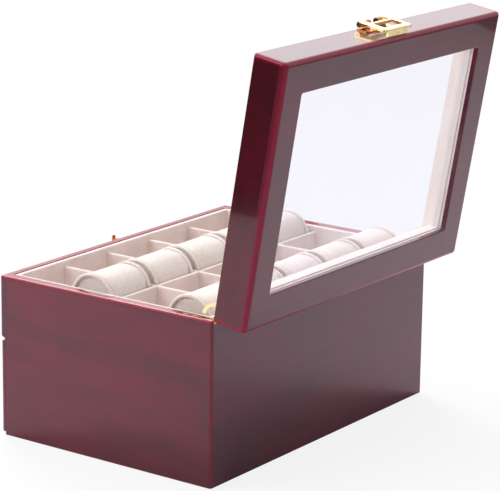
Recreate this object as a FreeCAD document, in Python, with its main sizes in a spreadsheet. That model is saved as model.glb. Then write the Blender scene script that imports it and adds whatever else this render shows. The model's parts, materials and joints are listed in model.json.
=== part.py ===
"""Watch box with a glass lid over a lined tray and a drawer below it.

Millimetres. X is the width, Y the depth with the drawer's face at -Y and the
hinges at +Y, Z is up. The origin is the middle of the footprint, on the
ground. The lid is drawn shut and then swung open about the hinge pins, the
way the box stands when it is shown open.
"""
import FreeCAD, Part
import math
import os

import Sketcher

V = FreeCAD.Vector
doc = FreeCAD.newDocument("WatchBox")

# Driving dimensions: name, value, what it is.
SIZES = (
    ("box_width", 290.0, "outside width of the case and the lid"),
    ("box_depth", 202.0, "outside depth of the case and the lid"),
    ("rim_height", 128.0, "height of the case rim above the ground"),
    ("side_wall", 9.0, "thickness of the side walls of case and lid"),
    ("end_wall", 7.5, "thickness of the front and back walls"),
    ("felt_thickness", 1.0, "felt under the bottom board"),
    ("panel_lift", 0.6, "lower edge of the panels above the ground"),
    ("bottom_board", 5.0, "thickness of the bottom board"),
    ("tray_board", 4.0, "thickness of the board between tray and drawer"),
    ("front_rail_height", 49.0, "height of the fixed upper front panel"),
    ("edge_round", 1.8, "round of the outer top edges of the case"),
    ("corner_round", 2.2, "round of the upright outer corners"),
    ("rail_round", 4.5, "round of the lower edge of the upper front panel"),
    ("inner_round", 0.7, "round of the inner top edges of the side walls"),
    ("front_inner_round", 2.6, "round of the inner top edges of front and back"),
    ("scoop_width", 6.2, "finger scoop into the rim from its inner face"),
    ("scoop_length", 30.0, "length of the finger scoop"),
    ("scoop_drop", 2.4, "depth of the finger scoop"),
    ("scoop_forward", 12.0, "middle of the scoop in front of the middle"),
    ("lining", 3.2, "thickness of the velvet-covered tray lining"),
    ("lining_drop", 0.4, "top of the lining below the rim"),
    ("lining_round", 1.2, "round of the lining's top edge"),
    ("pad", 2.0, "thickness of the tray floor pad"),
    ("divider", 3.0, "thickness of the covered dividers"),
    ("divider_height", 38.2, "height of the dividers above the pad"),
    ("divider_round", 1.1, "round of the dividers' top edges"),
    ("divider_fit", 0.15, "clearance of a divider in its slot or between walls"),
    ("pillow_width", 42.0, "watch pillow, front to back"),
    ("pillow_height", 54.6, "watch pillow, floor to crown"),
    ("pillow_end_gap", 1.3, "pillow's end clear of the divider beside it"),
    ("pillow_back_gap", 0.35, "pillow's back clear of the wall behind it"),
    ("pillow_crown", 0.5, "pillow's swell from its ends to its middle"),
    ("pillow_draw", 1.3, "how far a pillow's end is drawn in"),
    ("pillow_foot_round", 15.0, "round of the pillow's lower edges"),
    ("pillow_cuff", 2.8, "width of the raised cuff round each pillow end"),
    ("pillow_dish", 1.6, "depth of the dish inside the cuff"),
    ("lid_gap", 0.4, "shut lid above the case rim"),
    ("lid_height", 27.6, "height of the lid"),
    ("lid_frame", 5.6, "thickness of the lid's top frame"),
    ("frame_width", 25.2, "width of the lid's top frame"),
    ("lid_round", 3.5, "round of the lid's outer top edges"),
    ("window_round", 0.8, "round of the window's upper edge"),
    ("window_corner", 1.5, "corner radius of the window"),
    ("glass_drop", 3.9, "glass below the lid's outer face"),
    ("glass", 2.0, "thickness of the glass"),
    ("pillow_seat", 0.1, "pillow clear of the pad under it"),
    ("glass_cover", 5.5, "glass held under the frame, each side"),
    ("glass_fit", 0.3, "glass clear of its rebate, each side"),
    ("bead_cover", 10.0, "retaining bead beyond the window, each side"),
    ("bead_show", 0.8, "retaining bead inside the window's edge"),
    ("bead", 8.1, "thickness of the retaining bead under the glass"),
    ("lid_lining", 5.5, "thickness of the lid's wall lining"),
    ("lid_lining_drop", 1.0, "lower edge of the lid's lining above the wall edge"),
    ("open_angle", 99.4, "angle the lid stands open at, in degrees"),
    ("hinge_setback", 0.2, "hinge pin behind the back face"),
    ("hinge_drop", 0.4, "hinge pin below the case rim"),
    ("leaf_length", 33.0, "length of a hinge leaf from the back face"),
    ("leaf_width", 6.3, "width of a hinge leaf"),
    ("leaf", 1.4, "thickness of a hinge leaf"),
    ("leaf_inset", 1.8, "hinge leaf in from the outer side face"),
    ("leaf_fit", 0.05, "clearance of a leaf in its recess"),
    ("knuckle_radius", 2.1, "hinge knuckle radius"),
    ("knuckle_width", 1.9, "width of each outer hinge knuckle"),
    ("knuckle_gap", 0.12, "side clearance between hinge knuckles"),
    ("knuckle_room", 0.3, "radial room round the hinge knuckles"),
    ("pin_radius", 0.9, "hinge pin radius"),
    ("pin_fit", 0.05, "running clearance of hinge and latch pins"),
    ("screw_head", 1.8, "screw head radius"),
    ("screw_sink", 0.9, "depth of the screw's countersink"),
    ("screw_shank", 0.9, "screw shank radius"),
    ("screw_length", 6.0, "length of a screw with its head"),
    ("screw_fit", 0.05, "clearance round a screw"),
    ("stay_radius", 12.0, "hinge stay's middle line from the hinge pin"),
    ("stay_width", 2.4, "width of the hinge stay"),
    ("stay_sheet", 1.2, "thickness of the hinge stay"),
    ("stay_sweep", 86.0, "sweep of the hinge stay, in degrees"),
    ("stay_fit", 0.2, "clearance of the stay in its slot, each side"),
    ("stay_room", 0.4, "room round the stay's path in its slot"),
    ("stay_skin", 1.3, "wood left behind the stay's slot"),
    ("screw_near", 19.0, "near hinge screw from the back face"),
    ("screw_far", 28.0, "far hinge screw from the back face"),
    ("latch_width", 36.0, "width of the latch ring"),
    ("latch_length", 24.0, "latch ring from its pin to its free edge"),
    ("latch_stand", 4.0, "latch pin in front of the front face"),
    ("latch_pin_rise", 1.9, "latch pin above the case rim, lid shut"),
    ("latch_pin_radius", 1.0, "latch pin radius"),
    ("latch_knuckle", 2.3, "latch knuckle radius"),
    ("latch_sheet", 2.2, "thickness of the latch ring"),
    ("latch_offset", 0.3, "latch ring off the level of its pin"),
    ("latch_side_bar", 5.0, "width of the latch ring's side bars"),
    ("latch_far_bar", 2.3, "width of the bar next to the pin"),
    ("latch_bar_start", 6.2, "bar next to the pin, from the pin"),
    ("latch_free_bar", 5.0, "width of the bar at the free edge"),
    ("latch_lip", 2.5, "width of the finger lip"),
    ("latch_lip_drop", 3.7, "finger lip beyond the pin's level"),
    ("latch_gap", 4.6, "open half width between the middle knuckles"),
    ("latch_split", 10.5, "where lid and ring knuckles meet, from the middle"),
    ("latch_clear", 0.12, "side clearance between latch knuckles"),
    ("latch_plate", 1.0, "thickness of the latch plate on the lid"),
    ("latch_plate_low", 0.3, "latch plate's lower edge above the lid's"),
    ("latch_plate_rise", 10.2, "height of the latch plate on the lid"),
    ("latch_screw_out", 14.0, "latch plate screw from the middle"),
    ("latch_screw_rise", 7.0, "latch plate screw above the lid's lower edge"),
    ("latch_plate_extra", 0.5, "latch plate wider than the ring, each side"),
    ("catch_plate", 0.8, "thickness of the catch plate on the case"),
    ("catch_half_width", 17.0, "half width of the catch plate"),
    ("catch_drop", 1.0, "catch plate's top edge below the rim"),
    ("catch_height", 21.0, "height of the catch plate"),
    ("catch_screw_out", 8.0, "catch plate screw from the middle"),
    ("catch_screw_drop", 11.5, "catch plate screw below the rim"),
    ("plate_corner", 1.5, "corner radius of the latch and catch plates"),
    ("ring_corner", 3.0, "corner radius of the latch ring"),
    ("ring_edge", 0.8, "round of the latch ring's free edge"),
    ("stud_width", 6.0, "width of the catch stud"),
    ("stud_height", 3.0, "height of the catch stud"),
    ("stud_reach", 4.2, "catch stud in front of its plate"),
    ("stud_play", 0.5, "play between stud and the ring's free bar"),
    ("prong_width", 3.0, "width of the catch's guide prong"),
    ("prong", 1.2, "thickness of the guide prong"),
    ("prong_root", 2.1, "height of the guide prong's root"),
    ("prong_reach", 6.0, "guide prong in front of the front face"),
    ("prong_tip_rise", 1.4, "guide prong's tip above the rim"),
    ("drawer_lip", 4.0, "thickness of the drawer face's overlay"),
    ("drawer_tongue", 4.0, "drawer face behind its overlay"),
    ("drawer_foot", 3.2, "drawer face above the ground"),
    ("drawer_head", 2.2, "gap above the drawer face"),
    ("drawer_front_round", 3.0, "round of the drawer face's edges"),
    ("lip_gap", 0.3, "shut drawer face clear of the case"),
    ("drawer_side_gap", 0.8, "drawer clear of each side wall"),
    ("glide", 1.0, "thickness of the drawer glides"),
    ("glide_width", 12.0, "width of a drawer glide"),
    ("glide_inset", 14.0, "drawer glide in from the side wall"),
    ("glide_gap", 0.3, "drawer above its glides"),
    ("drawer_board", 6.0, "thickness of the drawer's sides"),
    ("drawer_end", 5.0, "thickness of the drawer's inner front and back"),
    ("drawer_floor", 3.0, "thickness of the drawer's bottom"),
    ("drawer_top_gap", 9.0, "drawer's sides below the tray board"),
    ("drawer_back_gap", 5.5, "shut drawer in front of the back panel"),
    ("drawer_pad", 1.5, "thickness of the drawer's floor pad"),
    ("drawer_pillow_gap", 0.3, "drawer pillow's end clear of its divider"),
    ("rosette_radius", 9.0, "knob rosette radius"),
    ("rosette", 1.6, "thickness of the knob rosette"),
    ("neck_radius", 3.8, "knob neck radius"),
    ("neck_length", 6.0, "knob neck length"),
    ("knob_radius", 7.5, "knob ball radius"),
    ("knob_screw_radius", 2.0, "knob screw radius"),
    ("knob_head_radius", 3.8, "knob screw head radius"),
    ("knob_head", 2.0, "knob screw head thickness"),
    ("knob_grip", 7.0, "knob screw's grip in the knob"),
)

sheet = doc.addObject("Spreadsheet::Sheet", "Sizes")
for row, (alias, value, note) in enumerate(SIZES, start=1):
    sheet.set("A%d" % row, alias)
    sheet.set("B%d" % row, str(value))
    sheet.set("C%d" % row, note)
    sheet.setAlias("B%d" % row, alias)
doc.recompute()


class Size:
    """A length known both as a number and as the sheet's expression."""

    def __init__(self, text, value):
        self.text = text
        self.value = value

    def _join(self, sign, other, value):
        return Size("(%s %s %s)" % (self.text, sign, other.text), value)

    def __add__(self, other):
        other = as_size(other)
        return self._join("+", other, self.value + other.value)

    def __radd__(self, other):
        return as_size(other) + self

    def __sub__(self, other):
        other = as_size(other)
        return self._join("-", other, self.value - other.value)

    def __rsub__(self, other):
        return as_size(other) - self

    def __mul__(self, other):
        other = as_size(other)
        return self._join("*", other, self.value * other.value)

    def __rmul__(self, other):
        return as_size(other) * self

    def __truediv__(self, other):
        other = as_size(other)
        return self._join("/", other, self.value / other.value)

    def __neg__(self):
        return Size("(0 - %s)" % self.text, -self.value)


def as_size(item):
    if isinstance(item, Size):
        return item
    return Size(repr(float(item)), float(item))


def size(alias):
    return Size("Sizes." + alias, float(sheet.get(alias)))


S = {alias: size(alias) for alias, _, _ in SIZES}


def bind(thing, path, length):
    """Tie a property of an object to the sheet."""
    thing.setExpression(path, as_size(length).text)


def bind_base(thing, x, y, z):
    bind(thing, "Placement.Base.x", x)
    bind(thing, "Placement.Base.y", y)
    bind(thing, "Placement.Base.z", z)


# Levels and faces that several pieces share.
half_width = S["box_width"] / 2
half_depth = S["box_depth"] / 2
inner_x = half_width - S["side_wall"]
inner_y = half_depth - S["end_wall"]
rim = S["rim_height"]
rail_low = rim - S["front_rail_height"]
tray_top = rail_low + S["tray_board"]
pad_top = tray_top + S["pad"]
bottom_top = S["felt_thickness"] + S["bottom_board"]
lined_x = inner_x - S["lining"]
lined_y = inner_y - S["lining"]
panel_front = half_depth - S["drawer_lip"] - S["lip_gap"]

lid_low = rim + S["lid_gap"]
lid_top = lid_low + S["lid_height"]
frame_low = lid_top - S["lid_frame"]
glass_top = lid_top - S["glass_drop"]
glass_low = glass_top - S["glass"]
bead_low = glass_low - S["bead"]
window_x = half_width - S["frame_width"]
window_y = half_depth - S["frame_width"]

hinge_y = half_depth + S["hinge_setback"]
hinge_z = rim - S["hinge_drop"]
leaf_out = half_width - S["leaf_inset"]
leaf_in = leaf_out - S["leaf_width"]
leaf_front = half_depth - S["leaf_length"]
leaf_end = hinge_y - S["knuckle_radius"] - S["knuckle_room"]

latch_y = -half_depth - S["latch_stand"]
latch_z = rim + S["latch_pin_rise"]

drawer_low = bottom_top + S["glide"] + S["glide_gap"]
drawer_x = inner_x - S["drawer_side_gap"]
drawer_in_x = drawer_x - S["drawer_board"]
drawer_face_back = half_depth - S["drawer_lip"] - S["drawer_tongue"]
drawer_in_front = drawer_face_back - S["drawer_end"]
drawer_back = inner_y - S["drawer_back_gap"]
drawer_in_back = drawer_back - S["drawer_end"]
drawer_top = rail_low - S["drawer_top_gap"]
drawer_floor_top = drawer_low + S["drawer_floor"]
drawer_pad_top = drawer_floor_top + S["drawer_pad"]
face_low = S["drawer_foot"]
face_high = rail_low - S["drawer_head"]
knob_z = (face_low + face_high) / 2

nodes = []


def keep(thing, label):
    """Register a finished sub-part under the name of its file."""
    thing.Label = label
    nodes.append(thing)
    return thing


# Building blocks.
def new_body(name):
    return doc.addObject("PartDesign::Body", name)


def origin_plane(body, role):
    for feature in body.Origin.OriginFeatures:
        if feature.Role == role:
            return feature
    raise RuntimeError("no origin plane " + role)


def new_sketch(body, role, offset=0):
    sketch = body.newObject("Sketcher::SketchObject", body.Name + "_sketch")
    sketch.AttachmentSupport = [(origin_plane(body, role), "")]
    sketch.MapMode = "FlatFace"
    bind(sketch, "AttachmentOffset.Base.z", offset)
    return sketch


def pin_point(sketch, geometry, vertex, across, up):
    """Hold one vertex of a sketch at bound distances from the origin."""
    for kind, length in (("DistanceX", across), ("DistanceY", up)):
        length = as_size(length)
        index = sketch.addConstraint(
            Sketcher.Constraint(kind, -1, 1, geometry, vertex, length.value))
        sketch.setExpression("Constraints[%d]" % index, length.text)


def polygon(sketch, points):
    """Close a straight-sided outline through bound points."""
    points = [(as_size(across), as_size(up)) for across, up in points]
    corners = [V(across.value, up.value, 0) for across, up in points]
    count = len(points)
    first = sketch.GeometryCount
    for index in range(count):
        sketch.addGeometry(
            Part.LineSegment(corners[index], corners[(index + 1) % count]), False)
    for index in range(count):
        following = first + (index + 1) % count
        sketch.addConstraint(
            Sketcher.Constraint("Coincident", first + index, 2, following, 1))
        pin_point(sketch, first + index, 1, *points[index])


def rectangle(sketch, low_u, high_u, low_v, high_v):
    polygon(sketch, ((low_u, low_v), (high_u, low_v), (high_u, high_v), (low_u, high_v)))


def circle(sketch, across, up, radius):
    across, up, radius = as_size(across), as_size(up), as_size(radius)
    index = sketch.addGeometry(
        Part.Circle(V(across.value, up.value, 0), V(0, 0, 1), radius.value), False)
    pin_point(sketch, index, 3, across, up)
    held = sketch.addConstraint(Sketcher.Constraint("Radius", index, radius.value))
    sketch.setExpression("Constraints[%d]" % held, radius.text)


def pad(body, sketch, length, reverse=False):
    feature = body.newObject("PartDesign::Pad", body.Name + "_pad")
    feature.Profile = sketch
    feature.Reversed = reverse
    bind(feature, "Length", length)
    return feature


def pocket(body, sketch, length, reverse=False):
    feature = body.newObject("PartDesign::Pocket", body.Name + "_pocket")
    feature.Profile = sketch
    feature.Reversed = reverse
    bind(feature, "Length", length)
    return feature


def block(body, kind, x, y, z):
    """Add or cut a box given by its low and high faces."""
    feature = body.newObject("PartDesign::%sBox" % kind, body.Name + "_block")
    feature.MapMode = "Deactivated"
    low = [as_size(pair[0]) for pair in (x, y, z)]
    high = [as_size(pair[1]) for pair in (x, y, z)]
    for name, start, end in zip(("Length", "Width", "Height"), low, high):
        bind(feature, name, end - start)
    bind_base(feature, *low)
    return feature


TURNS = {
    "X": FreeCAD.Rotation(V(0, 1, 0), 90),
    "Y": FreeCAD.Rotation(V(1, 0, 0), -90),
    "Z": FreeCAD.Rotation(),
    "arm": FreeCAD.Rotation(V(1, 0, 0), 174) * FreeCAD.Rotation(V(1, 1, 1), 120),
    "-Y": FreeCAD.Rotation(V(1, 0, 0), 90),
    "-Z": FreeCAD.Rotation(V(1, 0, 0), 180),
}


def rod(body, kind, axis, x, y, z, radius, length):
    """Add or cut a round bar that starts at x, y, z and runs along an axis."""
    feature = body.newObject("PartDesign::%sCylinder" % kind, body.Name + "_rod")
    feature.MapMode = "Deactivated"
    feature.Placement = FreeCAD.Placement(V(), TURNS[axis])
    bind(feature, "Radius", radius)
    bind(feature, "Height", length)
    bind_base(feature, x, y, z)
    return feature


def countersink(body, axis, x, y, z):
    """Cut a screw's head and shank room, from its head inwards."""
    cone = body.newObject("PartDesign::SubtractiveCone", body.Name + "_sink")
    cone.MapMode = "Deactivated"
    cone.Placement = FreeCAD.Placement(V(), TURNS[axis])
    bind(cone, "Radius1", S["screw_head"] + S["screw_fit"])
    bind(cone, "Radius2", S["screw_shank"] + S["screw_fit"])
    bind(cone, "Height", S["screw_sink"])
    bind_base(cone, x, y, z)
    screw_hole(body, axis, x, y, z)


def screw_hole(body, axis, x, y, z):
    rod(body, "Subtractive", axis, x, y, z,
        S["screw_shank"] + S["screw_fit"], S["screw_length"] + S["screw_fit"])


def on_plane(vertex_list, index, where):
    return all(abs(point[index] - where) < 1e-4 for point in vertex_list)


def edges_at(shape, **planes):
    """Names of the edges that lie in each of the given planes."""
    axes = {"x": 0, "y": 1, "z": 2}
    names = []
    for number, edge in enumerate(shape.Edges, start=1):
        ends = [vertex.Point for vertex in edge.Vertexes]
        if not ends:
            continue
        if all(on_plane(ends, axes[key], as_size(where).value)
               for key, where in planes.items()):
            names.append("Edge%d" % number)
    return names


def fillet(body, radius, *wanted):
    """Round the edges of a body's tip that lie in the wanted pairs of planes."""
    doc.recompute()
    base = body.Tip
    names = []
    for planes in wanted:
        found = edges_at(base.Shape, **planes)
        if not found:
            raise RuntimeError("%s: no edge at %s" % (body.Name, sorted(planes)))
        names.extend(found)
    feature = body.newObject("PartDesign::Fillet", body.Name + "_round")
    feature.Base = (base, sorted(set(names)))
    bind(feature, "Radius", radius)
    return feature


def board(name, x, y, z):
    """A plain sawn board as a box between bound faces."""
    box = doc.addObject("Part::Box", name)
    low = [as_size(pair[0]) for pair in (x, y, z)]
    high = [as_size(pair[1]) for pair in (x, y, z)]
    for prop, start, end in zip(("Length", "Width", "Height"), low, high):
        bind(box, prop, end - start)
    bind_base(box, *low)
    return box


def body_block(name, x, y, z):
    """A body that starts as a sketched and padded rectangle."""
    body = new_body(name)
    sketch = new_sketch(body, "XY_Plane", z[0])
    rectangle(sketch, x[0], x[1], y[0], y[1])
    pad(body, sketch, as_size(z[1]) - z[0])
    return body


def swing(thing):
    """Stand a piece that was drawn on the shut lid where the open lid has it."""
    turn = S["open_angle"].text
    back, up = hinge_y.text, hinge_z.text
    thing.Placement = FreeCAD.Placement(V(), FreeCAD.Rotation(V(-1, 0, 0), 90))
    thing.setExpression("Placement.Rotation.Angle", turn)
    thing.setExpression(
        "Placement.Base.y", "%s - %s * cos(%s) - %s * sin(%s)" % (back, back, turn, up, turn))
    thing.setExpression(
        "Placement.Base.z", "%s + %s * sin(%s) - %s * cos(%s)" % (up, back, turn, up, turn))
    return thing


def sided(side, value):
    """A distance on the right side (+1) or the left side (-1)."""
    return value if side > 0 else -value


def span(side, near, far):
    """Low and high faces between two distances from the middle, on one side."""
    if side > 0:
        return (near, far)
    return (-as_size(far), -as_size(near))


SIDES = (("right", 1), ("left", -1))


def outline_ring(name, low, high, top_round, inner_rounds):
    """Four walls in one ring: outside corners, top and inner edges rounded."""
    body = body_block(name, (-half_width, half_width), (-half_depth, half_depth), (low, high))
    block(body, "Subtractive", (-inner_x, inner_x), (-inner_y, inner_y), (low - 1, high + 1))
    fillet(body, S["corner_round"],
           {"x": half_width, "y": half_depth}, {"x": -half_width, "y": half_depth},
           {"x": half_width, "y": -half_depth}, {"x": -half_width, "y": -half_depth})
    if top_round is not None:
        fillet(body, top_round, {"x": half_width, "z": high}, {"y": half_depth, "z": high},
               {"x": -half_width, "z": high}, {"y": -half_depth, "z": high})
    for radius, planes in inner_rounds:
        fillet(body, radius, *planes)
    return body


def wedge(name, points, low, high):
    """An upright prism that takes one wall out of a ring."""
    body = new_body(name)
    sketch = new_sketch(body, "XY_Plane", low)
    polygon(sketch, points)
    pad(body, sketch, as_size(high) - low)
    return body


def shared(label, first, second):
    """What two solids have in common."""
    item = doc.addObject("Part::Common", label + "_common")
    item.Base = first
    item.Tool = second
    return keep(item, label)


def group(label, members):
    """Several separate solids under one name."""
    item = doc.addObject("Part::Compound", label + "_group")
    item.Links = members
    return keep(item, label)


# The mitred corners run from the ring's outer corner to its inner corner.
far_x = half_width + S["side_wall"]
far_y = half_depth + S["end_wall"]
near_x = inner_x - S["side_wall"]
near_y = inner_y - S["end_wall"]


def hinge_recess(body, side, low, high):
    """Room in a rim or a lid edge for one hinge leaf and its knuckles."""
    fit = S["leaf_fit"]
    x = span(side, leaf_in - fit, leaf_out + fit)
    block(body, "Subtractive", x, (leaf_front - fit, hinge_y), (low, high))
    rod(body, "Subtractive", "X", x[0], hinge_y, hinge_z,
        S["knuckle_radius"] + S["knuckle_room"], S["leaf_width"] + fit * 2)


def stay_slot(body, side, low, high):
    """Room for the curved stay of one hinge."""
    half = S["stay_sheet"] / 2 + S["stay_fit"]
    x = span(side, screw_x - half, screw_x + half)
    block(body, "Subtractive", x, (hinge_y - stay_reach - S["stay_room"],
                                   half_depth - S["stay_skin"]), (low, high))


stay_reach = S["stay_radius"] + S["stay_width"] / 2
screw_x = (leaf_in + leaf_out) / 2
hinge_screw_y = (half_depth - S["screw_near"], half_depth - S["screw_far"])

# Case walls, cut out of one ring so that their rounded edges run on.
case_ring = outline_ring(
    "CaseRing", S["panel_lift"], rim, S["edge_round"],
    ((S["front_inner_round"], ({"y": inner_y, "z": rim}, {"y": -inner_y, "z": rim})),
     (S["inner_round"], ({"x": inner_x, "z": rim}, {"x": -inner_x, "z": rim}))))
for side in (1, -1):
    hinge_recess(case_ring, side, rim - S["leaf"] - S["leaf_fit"], rim + 1)
    stay_slot(case_ring, side, hinge_z - stay_reach - S["stay_room"], rim + 1)
    for y in hinge_screw_y:
        screw_hole(case_ring, "-Z", sided(side, screw_x), y, rim)
    scoop = case_ring.newObject("PartDesign::SubtractiveEllipsoid", "Scoop")
    scoop.MapMode = "Deactivated"
    scoop.Angle1 = -90
    scoop.Angle2 = 90
    scoop.Angle3 = 360
    bind(scoop, "Radius1", S["scoop_drop"])
    bind(scoop, "Radius2", S["scoop_width"])
    bind(scoop, "Radius3", S["scoop_length"] / 2)
    bind_base(scoop, sided(side, inner_x), -S["scoop_forward"], rim)
catch_screw_z = rim - S["catch_screw_drop"]
for side in (1, -1):
    screw_hole(case_ring, "Y", sided(side, S["catch_screw_out"]), -half_depth - S["catch_plate"],
               catch_screw_z)

wedge_low = S["panel_lift"] - 1
wedge_high = rim + 5
for word, side in SIDES:
    points = [(sided(side, x), y) for x, y in (
        (inner_x, -panel_front), (far_x, -panel_front), (far_x, far_y), (near_x, near_y),
        (inner_x, -inner_y))]
    tool = wedge(word.title() + "Wedge", points, wedge_low, wedge_high)
    block(tool, "Subtractive", span(side, near_x - 1, far_x + 1), (-panel_front - 1, -inner_y),
          (rail_low, wedge_high + 1))
    shared(word + "_side_panel", case_ring, tool)
back_wedge = wedge("BackWedge", ((-far_x, far_y), (-near_x, near_y), (near_x, near_y),
                                 (far_x, far_y)), wedge_low, wedge_high)
shared("back_panel", case_ring, back_wedge)
front_wedge = body_block("FrontWedge", (-far_x, far_x), (-half_depth, -inner_y),
                         (rail_low, wedge_high))
fillet(front_wedge, S["rail_round"], {"y": -half_depth, "z": rail_low})
shared("upper_front_panel", case_ring, front_wedge)

# Boards inside the case.
keep(board("BottomBoard", (-inner_x, inner_x), (-panel_front, inner_y),
           (S["felt_thickness"], bottom_top)), "bottom_board")
keep(board("TrayBoard", (-inner_x, inner_x), (-inner_y, inner_y), (rail_low, tray_top)),
     "tray_board")
felt_in = S["side_wall"] + 4
keep(board("BaseFelt", (-half_width + felt_in, half_width - felt_in),
           (-panel_front + 4, inner_y - 4), (0, S["felt_thickness"])), "base_felt")
glide_out = inner_x - S["glide_inset"]
group("drawer_glides", [
    board("Glide", span(side, glide_out - S["glide_width"], glide_out),
          (-drawer_face_back, drawer_back), (bottom_top, bottom_top + S["glide"]))
    for side in (1, -1)])

# Velvet-covered tray: linings, pad and a grid of half-lapped dividers.
lining_top = rim - S["lining_drop"]
for word, side in SIDES:
    body = body_block("Lining" + word.title(), span(side, lined_x, inner_x),
                      (-lined_y, lined_y), (tray_top, lining_top))
    fillet(body, S["lining_round"], {"x": sided(side, lined_x), "z": lining_top})
    keep(body, "tray_lining_" + word)
for word, side in (("back", 1), ("front", -1)):
    body = body_block("Lining" + word.title(), (-inner_x, inner_x),
                      span(side, lined_y, inner_y), (tray_top, lining_top))
    fillet(body, S["lining_round"], {"y": sided(side, lined_y), "z": lining_top})
    keep(body, "tray_lining_" + word)
keep(board("TrayPad", (-lined_x, lined_x), (-lined_y, lined_y), (tray_top, pad_top)),
     "tray_floor_pad")

fit = S["divider_fit"]
half_divider = S["divider"] / 2


def long_divider(name, x, y, low, pitch):
    """Divider along X between x and -x, with a slot down to half height per crossing."""
    high = low + S["divider_height"]
    body = body_block(name, (-x + fit, x - fit), (y - half_divider, y + half_divider),
                      (low, high))
    fillet(body, S["divider_round"], {"y": y - half_divider, "z": high},
           {"y": y + half_divider, "z": high})
    for step in (-1.5, -0.5, 0.5, 1.5):
        middle = pitch * step
        block(body, "Subtractive", (middle - half_divider - fit, middle + half_divider + fit),
              (y - half_divider - 1, y + half_divider + 1),
              (low + S["divider_height"] / 2, high + 1))
    return body


def cross_divider(name, x, y_front, y_back, y_long, low):
    """Divider along Y with a slot up from below where it straddles the long one."""
    high = low + S["divider_height"]
    body = body_block(name, (x - half_divider, x + half_divider),
                      (y_front + fit, y_back - fit), (low, high))
    fillet(body, S["divider_round"], {"x": x - half_divider, "z": high},
           {"x": x + half_divider, "z": high})
    block(body, "Subtractive", (x - half_divider - 1, x + half_divider + 1),
          (y_long - half_divider - fit, y_long + half_divider + fit),
          (low - 1, low + S["divider_height"] / 2 + fit))
    return body


tray_pitch = lined_x * 2 / 5
keep(long_divider("TrayLong", lined_x, as_size(0), pad_top, tray_pitch), "tray_long_divider")
for number, step in enumerate((-1.5, -0.5, 0.5, 1.5), start=1):
    keep(cross_divider("TrayCross%d" % number, tray_pitch * step, -lined_y, lined_y,
                       as_size(0), pad_top), "tray_cross_divider_%d" % number)


# Watch pillows: crowned, with drawn-in sides, a cuff and a dished end.
def pillow_section(x, wide, high, foot):
    """A section across a pillow: round top, straight sides, rounded foot."""
    half = wide / 2
    spring = high - half
    corner = foot * (1 - math.sqrt(0.5))
    slant = half * math.sqrt(0.5)
    point = {
        "foot_l": V(x, -half + foot, 0), "mid_l": V(x, -half + corner, corner),
        "side_l": V(x, -half, foot), "spring_l": V(x, -half, spring),
        "top_l": V(x, -slant, spring + slant), "crown": V(x, 0, high),
        "top_r": V(x, slant, spring + slant), "spring_r": V(x, half, spring),
        "side_r": V(x, half, foot), "mid_r": V(x, half - corner, corner),
        "foot_r": V(x, half - foot, 0),
    }
    return Part.Wire([
        Part.LineSegment(point["foot_r"], point["foot_l"]).toShape(),
        Part.Arc(point["foot_l"], point["mid_l"], point["side_l"]).toShape(),
        Part.LineSegment(point["side_l"], point["spring_l"]).toShape(),
        Part.Arc(point["spring_l"], point["top_l"], point["crown"]).toShape(),
        Part.Arc(point["crown"], point["top_r"], point["spring_r"]).toShape(),
        Part.LineSegment(point["spring_r"], point["side_r"]).toShape(),
        Part.Arc(point["side_r"], point["mid_r"], point["foot_r"]).toShape()])


def pillow_shape(length):
    """Ruled loft with rounded end rims and a crown, then a dish in both ends."""
    wide, high = S["pillow_width"].value, S["pillow_height"].value
    foot, crown = S["pillow_foot_round"].value, S["pillow_crown"].value
    draw, cuff = S["pillow_draw"].value, S["pillow_cuff"].value
    half = length / 2
    wires = []
    rim_bend = 1 - math.sqrt(0.5)
    stations = [(half, crown + draw), (half - draw * rim_bend, crown + draw * rim_bend),
                (half - draw, crown), (half / 2, crown * 0.3)]
    stations = [(-x, less) for x, less in stations] + [(0, 0)] + stations[::-1]
    for x, less in stations:
        wires.append(pillow_section(x, wide - 2 * less, high - less, foot))
    solid = Part.makeLoft(wires, True, True)
    less = crown + draw + cuff
    for end in (-1, 1):
        floor = end * (half - S["pillow_dish"].value)
        inner = pillow_section(floor, wide - 2 * less, high - less - cuff, foot - cuff)
        inner.translate(V(0, 0, cuff))
        dish = Part.Face(inner).extrude(V(end * length, 0, 0))
        solid = solid.cut(dish)
    return solid


def pillow(name, shape, x, y, z):
    item = doc.addObject("Part::Feature", name)
    item.Shape = shape
    bind_base(item, x, y, z)
    return item


tray_pillow_length = tray_pitch - S["divider"] - S["pillow_end_gap"] * 2
tray_pillow = pillow_shape(tray_pillow_length.value)
half_pillow = S["pillow_width"] / 2 + S["pillow_back_gap"]
tray_rows = (("front", -half_divider - half_pillow), ("back", lined_y - half_pillow))
for word, y in tray_rows:
    for number, step in enumerate((-2, -1, 0, 1, 2), start=1):
        label = "tray_pillow_%s_%d" % (word, number)
        keep(pillow("Pillow" + word.title() + str(number), tray_pillow, tray_pitch * step, y,
                    pad_top + S["pillow_seat"]), label)


# Hinges: a leaf sunk in the rim, a leaf sunk in the lid's edge, one pin each.
knuckles = {
    "case": ((leaf_in, leaf_in + S["knuckle_width"]),
             (leaf_out - S["knuckle_width"], leaf_out)),
    "lid": ((leaf_in + S["knuckle_width"] + S["knuckle_gap"],
             leaf_out - S["knuckle_width"] - S["knuckle_gap"]),),
}


def hinge_stay(body, side):
    """A curved arm that hangs from the lid's leaf into the slot in the case."""
    x = sided(side, screw_x) - S["stay_sheet"] / 2
    arm = rod(body, "Additive", "arm", x, hinge_y, hinge_z, stay_reach, S["stay_sheet"])
    bind(arm, "Angle", S["stay_sweep"])
    rod(body, "Subtractive", "arm", x - 0.5, hinge_y, hinge_z,
        stay_reach - S["stay_width"], S["stay_sheet"] + 1)


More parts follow.
